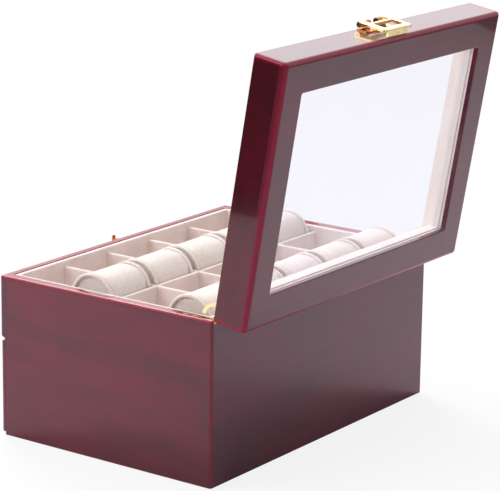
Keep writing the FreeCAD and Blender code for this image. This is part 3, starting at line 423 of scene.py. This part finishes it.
def clear_glass(name):
    """Thin window glass, which mirrors more where it is seen edge-on."""
    shader = Shader(name)
    smear = shader.noise(shader.place(), scale=26.0, detail=2.0, roughness=0.5)
    through = shader.node("BsdfTransparent", inputs={"Color": GLASS_TINT})
    shine = shader.node("BsdfGlossy", inputs={
        "Color": GLASS_SHINE, "Roughness": smear * 0.03})
    edge_on = shader.node("LayerWeight", inputs={"Blend": 0.5}, output="Facing")
    return shader.finish(shader.mix(edge_on ** 5 * 0.9 + 0.055, through, shine))


def plain_board(name, colour, grain):
    """Stained board without lacquer, for what the box hides."""
    shader = Shader(name)
    place = shader.place(Scale=along_grain(grain, 0.1))
    grained = shader.noise(place, scale=240.0, detail=5.0, roughness=0.6, distortion=0.6)
    return shader.principled(
        base_color=shader.blend(grained.step(0.35, 0.7), darker(colour, 0.45), colour),
        roughness=0.42 + grained * 0.2,
        normal=shader.bump(grained, distance=0.0002, strength=0.4))


class WatchBoxSettings(bpy.types.PropertyGroup):
    """Colours and sizes a user would change."""

    veneer_dark: FloatVectorProperty(
        name="Veneer dark", description="Dark figure of the veneer", subtype="COLOR",
        default=(0.070, 0.0095, 0.0150))
    veneer_red: FloatVectorProperty(
        name="Veneer red", description="Red figure of the veneer", subtype="COLOR",
        default=(0.150, 0.0090, 0.0215))
    # Partly painted light: the red along the rounded edges stands partly for their highlights
    # and what they mirror, partly for the thinner lacquer over the stain.
    edge_red: FloatVectorProperty(
        name="Edge red", description="Lacquer along the rounded edges", subtype="COLOR",
        default=(0.250, 0.0065, 0.0180))
    scoop_red: FloatVectorProperty(
        name="Scoop red", description="Thin lacquer in the finger scoops", subtype="COLOR",
        default=(0.33, 0.012, 0.024))
    edge_band: FloatProperty(
        name="Edge band", description="Width of the redder band along an edge",
        default=0.0022, subtype="DISTANCE", unit="LENGTH")
    lid_edge_band: FloatProperty(
        name="Lid edge band", description="Width of the redder band along a lid edge",
        default=0.0046, subtype="DISTANCE", unit="LENGTH")
    velvet_colour: FloatVectorProperty(
        name="Velvet", description="Tray and drawer lining", subtype="COLOR",
        default=(0.94, 0.835, 0.80))
    velvet_shade: FloatVectorProperty(
        name="Velvet shade", description="Lining where the pile is brushed away",
        subtype="COLOR", default=(0.82, 0.70, 0.67))
    pillow_colour: FloatVectorProperty(
        name="Pillow", description="Pillow cloth", subtype="COLOR",
        default=(0.94, 0.865, 0.825))
    pillow_shade: FloatVectorProperty(
        name="Pillow shade", description="Pillow cloth between its fibres",
        subtype="COLOR", default=(0.80, 0.70, 0.655))
    # Painted light: the lid's velvet is the tray's velvet made paler, for the light that hardly
    # reaches inside the lid.
    lid_velvet: FloatVectorProperty(
        name="Lid velvet", description="Linings and bead inside the lid", subtype="COLOR",
        default=(0.97, 0.90, 0.83))
    lid_velvet_shade: FloatVectorProperty(
        name="Lid velvet shade", description="Lid lining where the pile is brushed away",
        subtype="COLOR", default=(0.90, 0.80, 0.73))
    brass: FloatVectorProperty(
        name="Brass", description="Hinges, latch and knob", subtype="COLOR",
        default=(0.92, 0.76, 0.40))
    cuff_width: FloatProperty(
        name="Pillow cuff", description="Width of the rolled cuff at a pillow's end",
        default=0.0030, subtype="DISTANCE", unit="LENGTH")


def put_in_order(bm):
    """Order the faces by their places, because extruding leaves them in any order."""
    def where(face):
        return [round(coordinate, 6) for coordinate in face.calc_center_median()]

    for index, face in enumerate(sorted(bm.faces, key=where)):
        face.index = index
    bm.faces.sort()


def add_piece(name, bm, material, body, smooth=True):
    """Turn a finished bmesh into an object of the scene that rides on a body."""
    mesh = bpy.data.meshes.new(name)
    bm.to_mesh(mesh)
    bm.free()
    for polygon in mesh.polygons:
        polygon.use_smooth = smooth
    mesh.materials.append(material)
    piece = bpy.data.objects.new(name, mesh)
    bpy.context.collection.objects.link(piece)
    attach(piece, body)
    return piece


class WATCHBOX_OT_stage(bpy.types.Operator):
    """Floor, soft lamps, pale surroundings and the camera"""

    bl_idname = "watchbox.stage"
    bl_label = "Stage"

    # The floor is a square: half its width, where it ends in X, its middle in Y, and
    # how far it lies under the felt.
    FLOOR_HALF, FLOOR_END, FLOOR_MIDDLE, FLOOR_DROP = 0.9, 0.83, 0.05, 0.0002
    FLOOR_PALE, FLOOR_GREY = (0.93, 0.93, 0.93), (0.91, 0.91, 0.91)
    # The floor is white to the camera but for a share that takes the shadow, and that
    # share fades out between these distances from the box's middle.
    FLOOR_GLOW, FLOOR_SHADE, FADE = 0.85, 0.15, (0.30, 0.62)

    # Each lamp's name, place, aim, width and power.
    LAMPS = (
        ("front_lamp", (-0.70, -1.05, 1.30), (0.0, 0.0, 0.1), 0.7, 18.0),
        ("back_softbox", (-1.30, -0.85, 1.15), (0.0, 0.1, 0.3), 1.1, 3.8),
        ("side_lamp", (1.10, -0.70, 0.85), (0.1, 0.0, 0.1), 0.8, 7.0),
        ("top_lamp", (0.0, -0.20, 1.90), (0.0, 0.0, 0.1), 1.6, 16.0))

    # The plain light of the room, and what a glossy ray sees below its horizon.
    ROOM_COLOUR, ROOM_LEVEL = (0.98, 0.99, 1.0), 0.36
    HORIZON, BELOW, ABOVE = (-0.03, 0.0), 0.06, 0.94

    # The photograph's viewpoint: the place, the turns in degrees and the lens.
    CAMERA_PLACE = (1.49677, 1.09931, 0.62585)
    CAMERA_Z, CAMERA_X, CAMERA_Y = 128.702, 75.275, -3.049
    LENS, SENSOR, FARTHEST = 175.97, 36.0, 20.0

    def execute(self, context):
        self.floor(context)
        self.lamps(context)
        self.surroundings(context)
        self.camera(context)
        return {"FINISHED"}

    def floor(self, context):
        """A pale floor that keeps a faint shadow and is white farther out."""
        bm = bmesh.new()
        bmesh.ops.create_grid(bm, x_segments=1, y_segments=1, size=self.FLOOR_HALF)
        bmesh.ops.translate(bm, verts=bm.verts, vec=(
            self.FLOOR_END - self.FLOOR_HALF, self.FLOOR_MIDDLE, -self.FLOOR_DROP))
        mesh = bpy.data.meshes.new("floor")
        bm.to_mesh(mesh)
        bm.free()
        shader = Shader("pale_floor")
        place = shader.place()
        grain = shader.noise(place, scale=3.0, detail=2.0, roughness=0.5)
        matt = shader.node("BsdfDiffuse", inputs={
            "Color": shader.blend(grain * 0.2, self.FLOOR_PALE, self.FLOOR_GREY)})
        glow = shader.node("Emission", inputs={"Color": WHITE, "Strength": 1.0})
        across, along, _ = shader.axes(place)
        far = (across * across + along * along) ** 0.5
        fade = self.FLOOR_GLOW + far.step(*self.FADE) * self.FLOOR_SHADE
        seen, = shader.rays("Camera")
        mesh.materials.append(shader.finish(shader.mix(seen * fade, matt, glow)))
        floor = bpy.data.objects.new("floor", mesh)
        context.collection.objects.link(floor)

    def lamps(self, context):
        """Soft square lamps, which the camera doesn't see."""
        for name, place, aim, size, power in self.LAMPS:
            lamp = bpy.data.lights.new(name, "AREA")
            lamp.shape = "SQUARE"
            lamp.size = size
            lamp.energy = power
            holder = bpy.data.objects.new(name, lamp)
            holder.location = place
            holder.rotation_euler = (Vector(aim) - Vector(place)).to_track_quat(
                "-Z", "Y").to_euler()
            holder.visible_camera = False
            context.collection.objects.link(holder)

    def surroundings(self, context):
        """White behind the object and in its gloss, a plain level of light on it."""
        studio = Shader("studio", "worlds")
        seen, gloss, through = studio.rays("Camera", "Glossy", "Transmission")
        upward = studio.axes(studio.node("TexCoord", output="Generated"))[2]
        above = upward.step(*self.HORIZON) * self.ABOVE + self.BELOW
        plain = studio.node("Background", inputs={
            "Color": self.ROOM_COLOUR, "Strength": self.ROOM_LEVEL})
        glow = studio.node("Background", inputs={
            "Color": WHITE, "Strength": seen.max(through).max(gloss * above)})
        direct = seen.max(through).max(gloss)
        context.scene.world = studio.finish(studio.mix(direct, plain, glow), "OutputWorld")
        context.scene.view_settings.view_transform = "Standard"

    def camera(self, context):
        """The photograph's viewpoint and lens."""
        lens = bpy.data.cameras.new("camera")
        lens.sensor_fit = "HORIZONTAL"
        lens.sensor_width = self.SENSOR
        lens.lens = self.LENS
        lens.clip_end = self.FARTHEST
        camera = bpy.data.objects.new("camera", lens)
        turn = (Matrix.Rotation(math.radians(self.CAMERA_Z), 4, "Z")
                @ Matrix.Rotation(math.radians(self.CAMERA_X), 4, "X")
                @ Matrix.Rotation(math.radians(self.CAMERA_Y), 4, "Y"))
        camera.matrix_world = Matrix.Translation(self.CAMERA_PLACE) @ turn
        context.collection.objects.link(camera)
        context.scene.camera = camera


class WATCHBOX_OT_wood(bpy.types.Operator):
    """Lacquer the case, the drawer face and the lid"""

    bl_idname = "watchbox.wood"
    bl_label = "Lacquered wood"

    def execute(self, context):
        self.case()
        self.lid()
        return {"FINISHED"}

    def case(self):
        """The grain runs round the case: in Y on its sides, in X on its ends."""
        # depth is painted shade, set face by face for how much light each gets: 0.90 on the
        # sides, 0.72 on the ends.
        paint(lacquered_wood("case_side_lacquer", "Y", RIM, 0.31, depth=0.90, upright=0.35,
                             rim=True, scoop=True, gloss=CASE_SIDE_GLOSS),
              "right_side_panel", "left_side_panel")
        paint(lacquered_wood("case_end_lacquer", "X", RIM, 1.17, depth=0.72, upright=0.35,
                             rim=True),
              "back_panel", "upper_front_panel")
        paint(lacquered_wood("drawer_face_lacquer", "X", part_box("drawer_front")[1].z, 2.2),
              "drawer_front")

    def lid(self):
        """The grain runs as on the case, and the red along the edges is wider."""
        top = max(as_shut(vertex.co).z for vertex in NODES["lid_top_frame"].data.vertices)
        band = settings().lid_edge_band
        # depth paints shade on the lid too, most on its sides.
        paint(lacquered_wood("lid_side_lacquer", "Y", top, 3.4, LID_TURN, band, depth=0.66,
                             gloss=LID_SIDE_GLOSS, haze=LID_SIDE_HAZE),
              "lid_right_wall", "lid_left_wall")
        paint(lacquered_wood("lid_end_lacquer", "X", top, 4.6, LID_TURN, band, depth=0.80),
              "lid_front_wall", "lid_back_wall", "lid_top_frame")


class WATCHBOX_OT_boards(bpy.types.Operator):
    """Plain inner boards, the drawer's carcass and the felt under the case"""

    bl_idname = "watchbox.boards"
    bl_label = "Inner boards"

    STAIN = (0.075, 0.014, 0.014)
    FELT, FELT_SHADE = (0.030, 0.012, 0.014), (0.016, 0.008, 0.010)

    def execute(self, context):
        paint(plain_board("stained_board_long", self.STAIN, "X"), "bottom_board",
              "tray_board", "drawer_inner_front", "drawer_back", "drawer_bottom")
        paint(plain_board("stained_board_deep", self.STAIN, "Y"),
              "drawer_right_side", "drawer_left_side", "drawer_glides")
        paint(velvet("base_felt_cloth", self.FELT, self.FELT_SHADE), "base_felt")
        return {"FINISHED"}


class WATCHBOX_OT_linings(bpy.types.Operator):
    """Velvet on the linings, the dividers and the floor pads"""

    bl_idname = "watchbox.linings"
    bl_label = "Velvet linings"

    def execute(self, context):
        look = settings()
        names = [name for name in NODES
                 if "_lining_" in name or "divider" in name or name.endswith("floor_pad")]
        paint(velvet("lining_velvet", look.velvet_colour, look.velvet_shade), *names)
        paint(lid_cloth("lid_lining_velvet"), "lid_linings")
        return {"FINISHED"}


class WATCHBOX_OT_metal(bpy.types.Operator):
    """Brass hinges, latch, catch, screws and knob"""

    bl_idname = "watchbox.metal"
    bl_label = "Brass fittings"

    PAINTED_REFLECTION_AND_SHADE = 0.85      # painted reflection of the red lacquer and painted shade on the catch, the latch's plate and the hinges' case half

    def execute(self, context):
        paint(polished_brass("polished_brass"), "drawer_knob", "knob_rosette", "latch_ring",
              "lid_brass_screws", "case_brass_screws", *nodes_from("hinge_lid_leaf"))
        # The catch, the latch's plate and pins, the hinge pins and the hinges' case half get
        # painted reflection and painted shade.
        paint(polished_brass("aged_brass", self.PAINTED_REFLECTION_AND_SHADE), "catch_plate", "latch_base_plate",
              "latch_pins", "hinge_pins", *nodes_from("hinge_case_leaf"))
        paint(brushed_steel("screw_steel"), "knob_screw")
        return {"FINISHED"}


class WATCHBOX_OT_glass(bpy.types.Operator):
    """The lid's window"""

    bl_idname = "watchbox.glass"
    bl_label = "Glass"

    def execute(self, context):
        paint(clear_glass("window_glass"), "glass_pane")
        return {"FINISHED"}


class WATCHBOX_OT_bead(bpy.types.Operator):
    """The velvet bead that holds the pane, stepped up round the pane's rim"""

    bl_idname = "watchbox.bead"
    bl_label = "Window bead"

    CORNER = 0.0004     # cut off the bead's lower corner
    LIP = 0.0003        # cut off the corner that the pane rests on
    STEP = 0.0009       # width of the ledge under the pane, where the bead steps up
    GAP = 0.0001        # between the bead and the pane over it

    def execute(self, context):
        bm = bmesh.new()
        self.sweep(bm, *self.outline())
        bmesh.ops.remove_doubles(bm, verts=bm.verts, dist=TOUCHING)
        bmesh.ops.recalc_face_normals(bm, faces=bm.faces)
        for vertex in bm.verts:
            vertex.co = as_open(vertex.co)
        put_in_order(bm)
        piece = add_piece("glass_bead_cloth", bm, lid_cloth("bead_velvet"), "lid",
                          smooth=False)
        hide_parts("glass_bead")
        return {"FINISHED"}

    def outline(self):
        """The opening's half width and depth, and the bead's outline across its run.

        Each point of the outline is its distance out from the opening and its height,
        with the lid shut.
        """
        bead, pane = ([as_shut(vertex.co) for vertex in NODES[name].data.vertices]
                      for name in ("glass_bead", "glass_pane"))
        low = min(point.z for point in bead)
        seat = min(point.z for point in pane) - self.GAP
        top = max(point.z for point in pane)
        width = min(abs(point.x) for point in bead)
        depth = min(abs(point.y) for point in bead)
        thick = max(point.x for point in bead) - width
        return width, depth, (
            (self.CORNER, low), (0.0, low + self.CORNER), (0.0, seat - self.LIP),
            (self.LIP, seat), (self.STEP, seat), (self.STEP, top), (thick, top), (thick, low))

    @staticmethod
    def sweep(bm, width, depth, profile):
        """Carry a square ring of edges round the profile, and back to where it began."""
        verts = bmesh.ops.create_circle(
            bm, cap_ends=False, segments=4, radius=1.0,
            matrix=Matrix.Rotation(math.pi / 4, 4, "Z"))["verts"]
        edges = bm.edges[:]
        for number, (out, height) in enumerate(profile + profile[:1]):
            if number:
                grown = bmesh.ops.extrude_edge_only(bm, edges=edges)["geom"]
                verts = [item for item in grown if isinstance(item, bmesh.types.BMVert)]
                edges = [item for item in grown if isinstance(item, bmesh.types.BMEdge)
                         and item.verts[0] in verts and item.verts[1] in verts]
            for vertex in verts:
                vertex.co = (math.copysign(width + out, vertex.co.x),
                             math.copysign(depth + out, vertex.co.y), height)


class Roll:
    """The padded roll that every watch pillow is: one is sewn and filled, the rest copy it."""

    SEGMENTS = 72
    SQUARE = 0.62       # power that squares the outline's lower half, 1 leaves it round
    SUNK = 0.0013       # how far the cloth's ends lie inside the cuffs
    SLACK = 0.0009      # how far inside the outline the empty bag starts
    SWELL = 0.0013      # how far the filling may press a point out
    SOFTENED = 0.0015   # bevel round the bag's two ends
    TUCK = 0.0006       # how far past its width a cuff tucks into the cloth

    # The cloth: the size of its faces, the height above the foot below which it is
    # held, and the settings of the simulation.
    FACE_SIZE = 0.0034
    RESTING = 0.003
    QUALITY, MASS, PRESSURE, FRAMES = 5, 0.3, 4.0, 20

    # The small differences between pillows: how many to a metre, how far the noise
    # moves from one pillow to the next, and how high they stand.
    LUMPS, NEXT, HEIGHT = 60.0, 3.1, 0.0003

    def __init__(self, size, cuff):
        self.length = size.x
        self.half = size.y / 2
        self.drop = size.z - self.half
        self.cuff = cuff
        self.pattern = self.fill()
        self.cuffs(self.pattern)
        self.pattern.normal_update()

    def loop(self, bm, fill):
        """The outline across the roll: round above, squarer where it stands."""
        ring = bmesh.ops.create_circle(
            bm, cap_ends=fill, segments=self.SEGMENTS, radius=self.half,
            matrix=Matrix.Rotation(math.pi / 2, 4, "Y"))
        for vertex in ring["verts"]:
            if vertex.co.z < 0:
                turn = math.atan2(-vertex.co.z, vertex.co.y)
                vertex.co.y = math.copysign(
                    abs(math.cos(turn)) ** self.SQUARE, math.cos(turn)) * self.half
                vertex.co.z = -(math.sin(turn) ** self.SQUARE) * self.drop
        return ring["verts"]

    @staticmethod
    def inset(verts, depth):
        """Draw an outline in by a depth, the same all round."""
        for vertex in verts:
            reach = math.hypot(vertex.co.y, vertex.co.z)
            vertex.co.y -= vertex.co.y / reach * depth
            vertex.co.z -= vertex.co.z / reach * depth

    def core(self):
        """The cloth bag before it is filled."""
        bm = bmesh.new()
        end = self.length / 2 - self.SUNK - self.SLACK
        verts = self.loop(bm, True)
        self.inset(verts, self.SLACK)
        bmesh.ops.translate(bm, verts=verts, vec=(-end, 0.0, 0.0))
        grown = bmesh.ops.extrude_face_region(bm, geom=bm.faces[:])
        moved = [item for item in grown["geom"] if isinstance(item, bmesh.types.BMVert)]
        bmesh.ops.translate(bm, verts=moved, vec=(2 * end, 0.0, 0.0))
        bmesh.ops.recalc_face_normals(bm, faces=bm.faces)
        rims = [edge for edge in bm.edges
                if abs(edge.verts[0].co.x - edge.verts[1].co.x) < TOUCHING]
        bmesh.ops.bevel(bm, geom=rims, offset=self.SOFTENED, segments=2, affect="EDGES",
                        profile=0.5, material=-1)
        return bm

    def bag(self):
        """The bag as an object, remeshed into faces small enough for cloth."""
        shell = bpy.data.meshes.new("bag")
        bm = self.core()
        bm.to_mesh(shell)
        bm.free()
        holder = bpy.data.objects.new("bag", shell)
        bpy.context.collection.objects.link(holder)
        weave = holder.modifiers.new("weave", "REMESH")
        weave.mode = "VOXEL"
        weave.voxel_size = self.FACE_SIZE
        view = bpy.context.evaluated_depsgraph_get()
        cloth = bpy.data.meshes.new_from_object(holder.evaluated_get(view))
        holder.modifiers.clear()
        holder.data = cloth
        return holder

    def press(self, holder):
        """Let the filling press the bag out, no point farther than SWELL."""
        cloth = holder.data
        before = [vertex.co.copy() for vertex in cloth.vertices]
        held = min(point.z for point in before) + self.RESTING
        resting = holder.vertex_groups.new(name="resting")
        resting.add([index for index, point in enumerate(before) if point.z < held],
                    1.0, "REPLACE")
        padding = holder.modifiers.new("padding", "CLOTH")
        padding.settings.quality = self.QUALITY
        padding.settings.mass = self.MASS
        padding.settings.use_pressure = True
        padding.settings.uniform_pressure_force = self.PRESSURE
        padding.settings.effector_weights.gravity = 0.0
        padding.settings.vertex_group_mass = "resting"
        scene = bpy.context.scene
        for frame_number in range(1, self.FRAMES + 1):
            scene.frame_set(frame_number)
        view = bpy.context.evaluated_depsgraph_get()
        puffed = holder.evaluated_get(view).to_mesh()
        for vertex, start, end in zip(cloth.vertices, before, puffed.vertices):
            step = end.co - start
            vertex.co = start + step * min(1.0, self.SWELL / max(step.length, TOUCHING))
        holder.evaluated_get(view).to_mesh_clear()
        holder.modifiers.clear()
        scene.frame_set(1)

    def fill(self):
        """Sew the bag, fill it and smooth its cloth."""
        holder = self.bag()
        self.press(holder)
        bm = bmesh.new()
        bm.from_mesh(holder.data)
        bmesh.ops.smooth_vert(bm, verts=bm.verts, factor=0.5, use_axis_x=True,
                              use_axis_y=True, use_axis_z=True)
        bpy.data.objects.remove(holder)
        return bm

    def cuffs(self, bm):
        """A rolled cuff round each end, standing a little proud of the sunk end."""
        # Each point's depth in from the pillow's end, and its inset from the outline.
        width, tucked = self.cuff, self.cuff + self.TUCK
        profile = ((0.0, 0.0024), (0.0, 0.0015), (0.0004, 0.0008), (0.0012, 0.0004),
                   (width, 0.0004), (tucked, 0.0010), (tucked, 0.0022), (width, 0.0029),
                   (0.0012, 0.0030), (0.0003, 0.0028))
        for side in (-1, 1):
            rings = []
            for depth, inset in profile:
                verts = self.loop(bm, False)
                self.inset(verts, inset)
                bmesh.ops.translate(bm, verts=verts, vec=(
                    side * (self.length / 2 - depth), 0.0, 0.0))
                rings.append(list(dict.fromkeys(
                    edge for vertex in verts for edge in vertex.link_edges)))
            made = []
            for first, second in zip(rings, rings[1:] + rings[:1]):
                made += bmesh.ops.bridge_loops(bm, edges=first + second)["faces"]
            bmesh.ops.recalc_face_normals(bm, faces=made)

    def at(self, low, high, seed):
        """One pillow in its place, a little different from its neighbours."""
        bm = self.pattern.copy()
        middle = (low + high) / 2
        for vertex in bm.verts:
            x, y, z = (coordinate * self.LUMPS for coordinate in vertex.co)
            lump = noise.noise(Vector((x + seed * self.NEXT, y, z)))
            vertex.co += vertex.normal * (lump * self.HEIGHT)
            vertex.co.z = max(vertex.co.z, -self.drop)
        bmesh.ops.translate(bm, verts=bm.verts,
                            vec=(middle.x, middle.y, low.z + self.drop))
        return bm


class WATCHBOX_OT_pillows(bpy.types.Operator):
    """Padded watch pillows in the tray and in the drawer"""

    bl_idname = "watchbox.pillows"
    bl_label = "Watch pillows"

    # The suede's pile against the linings' velvet: it stands more, and is coarser and
    # less evenly brushed.
    NAP, TUFTS, EVENNESS = 1.2, 820.0, 0.25
    DRAWER_ROW = 5      # pillows in each of the drawer's rows, which are one solid each

    def execute(self, context):
        look = settings()
        cloth = velvet("pillow_suede", look.pillow_colour, look.pillow_shade, self.NAP,
                       self.TUFTS, self.EVENNESS)
        places = list(self.places())
        _, low, high = places[0]
        roll = Roll(high - low, look.cuff_width)
        for count, (name, low, high) in enumerate(places, 1):
            body = "drawer" if name.startswith("drawer") else "case"
            piece = add_piece(name + "_cloth", roll.at(low, high, count), cloth, body)
            rounding = piece.modifiers.new("soften", "SUBSURF")
            rounding.levels = rounding.render_levels = 1
            node = name if name in NODES else name.rsplit("_", 1)[0]
            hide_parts(node)
        return {"FINISHED"}

    def places(self):
        """Name and corners of each pillow."""
        single_low, single_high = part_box("tray_pillow_front_1")
        length = single_high.x - single_low.x
        for name in sorted(NODES):
            if name.startswith("tray_pillow"):
                yield (name, *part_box(name))
            elif name.startswith("drawer_pillows"):
                low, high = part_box(name)
                pitch = (high.x - low.x - length) / (self.DRAWER_ROW - 1)
                for number in range(self.DRAWER_ROW):
                    start = low.x + pitch * number
                    yield ("%s_%d" % (name, number + 1), Vector((start, low.y, low.z)),
                           Vector((start + length, high.y, high.z)))


OPERATORS = (WATCHBOX_OT_stage, WATCHBOX_OT_wood, WATCHBOX_OT_boards, WATCHBOX_OT_linings,
             WATCHBOX_OT_metal, WATCHBOX_OT_glass, WATCHBOX_OT_bead, WATCHBOX_OT_pillows)


class WATCHBOX_PT_panel(bpy.types.Panel):
    """Steps and sizes of the watch box"""

    bl_idname = "WATCHBOX_PT_panel"
    bl_label = "Watch Box"
    bl_space_type = "VIEW_3D"
    bl_region_type = "UI"
    bl_category = "Watch Box"

    def draw(self, context):
        for operator in OPERATORS:
            self.layout.operator(operator.bl_idname)
        for name in WatchBoxSettings.__annotations__:
            self.layout.prop(context.scene.watch_box, name)


CLASSES = (WatchBoxSettings, *OPERATORS, WATCHBOX_PT_panel)


def register():
    for item in CLASSES:
        bpy.utils.register_class(item)
    bpy.types.Scene.watch_box = PointerProperty(type=WatchBoxSettings)


def unregister():
    del bpy.types.Scene.watch_box
    for item in reversed(CLASSES):
        bpy.utils.unregister_class(item)


def main():
    """Dress the box step by step."""
    register()
    for operator in OPERATORS:
        step = getattr(bpy.ops.watchbox, operator.bl_idname.split(".")[1])
        step()


if __name__ == "__main__":
    main()
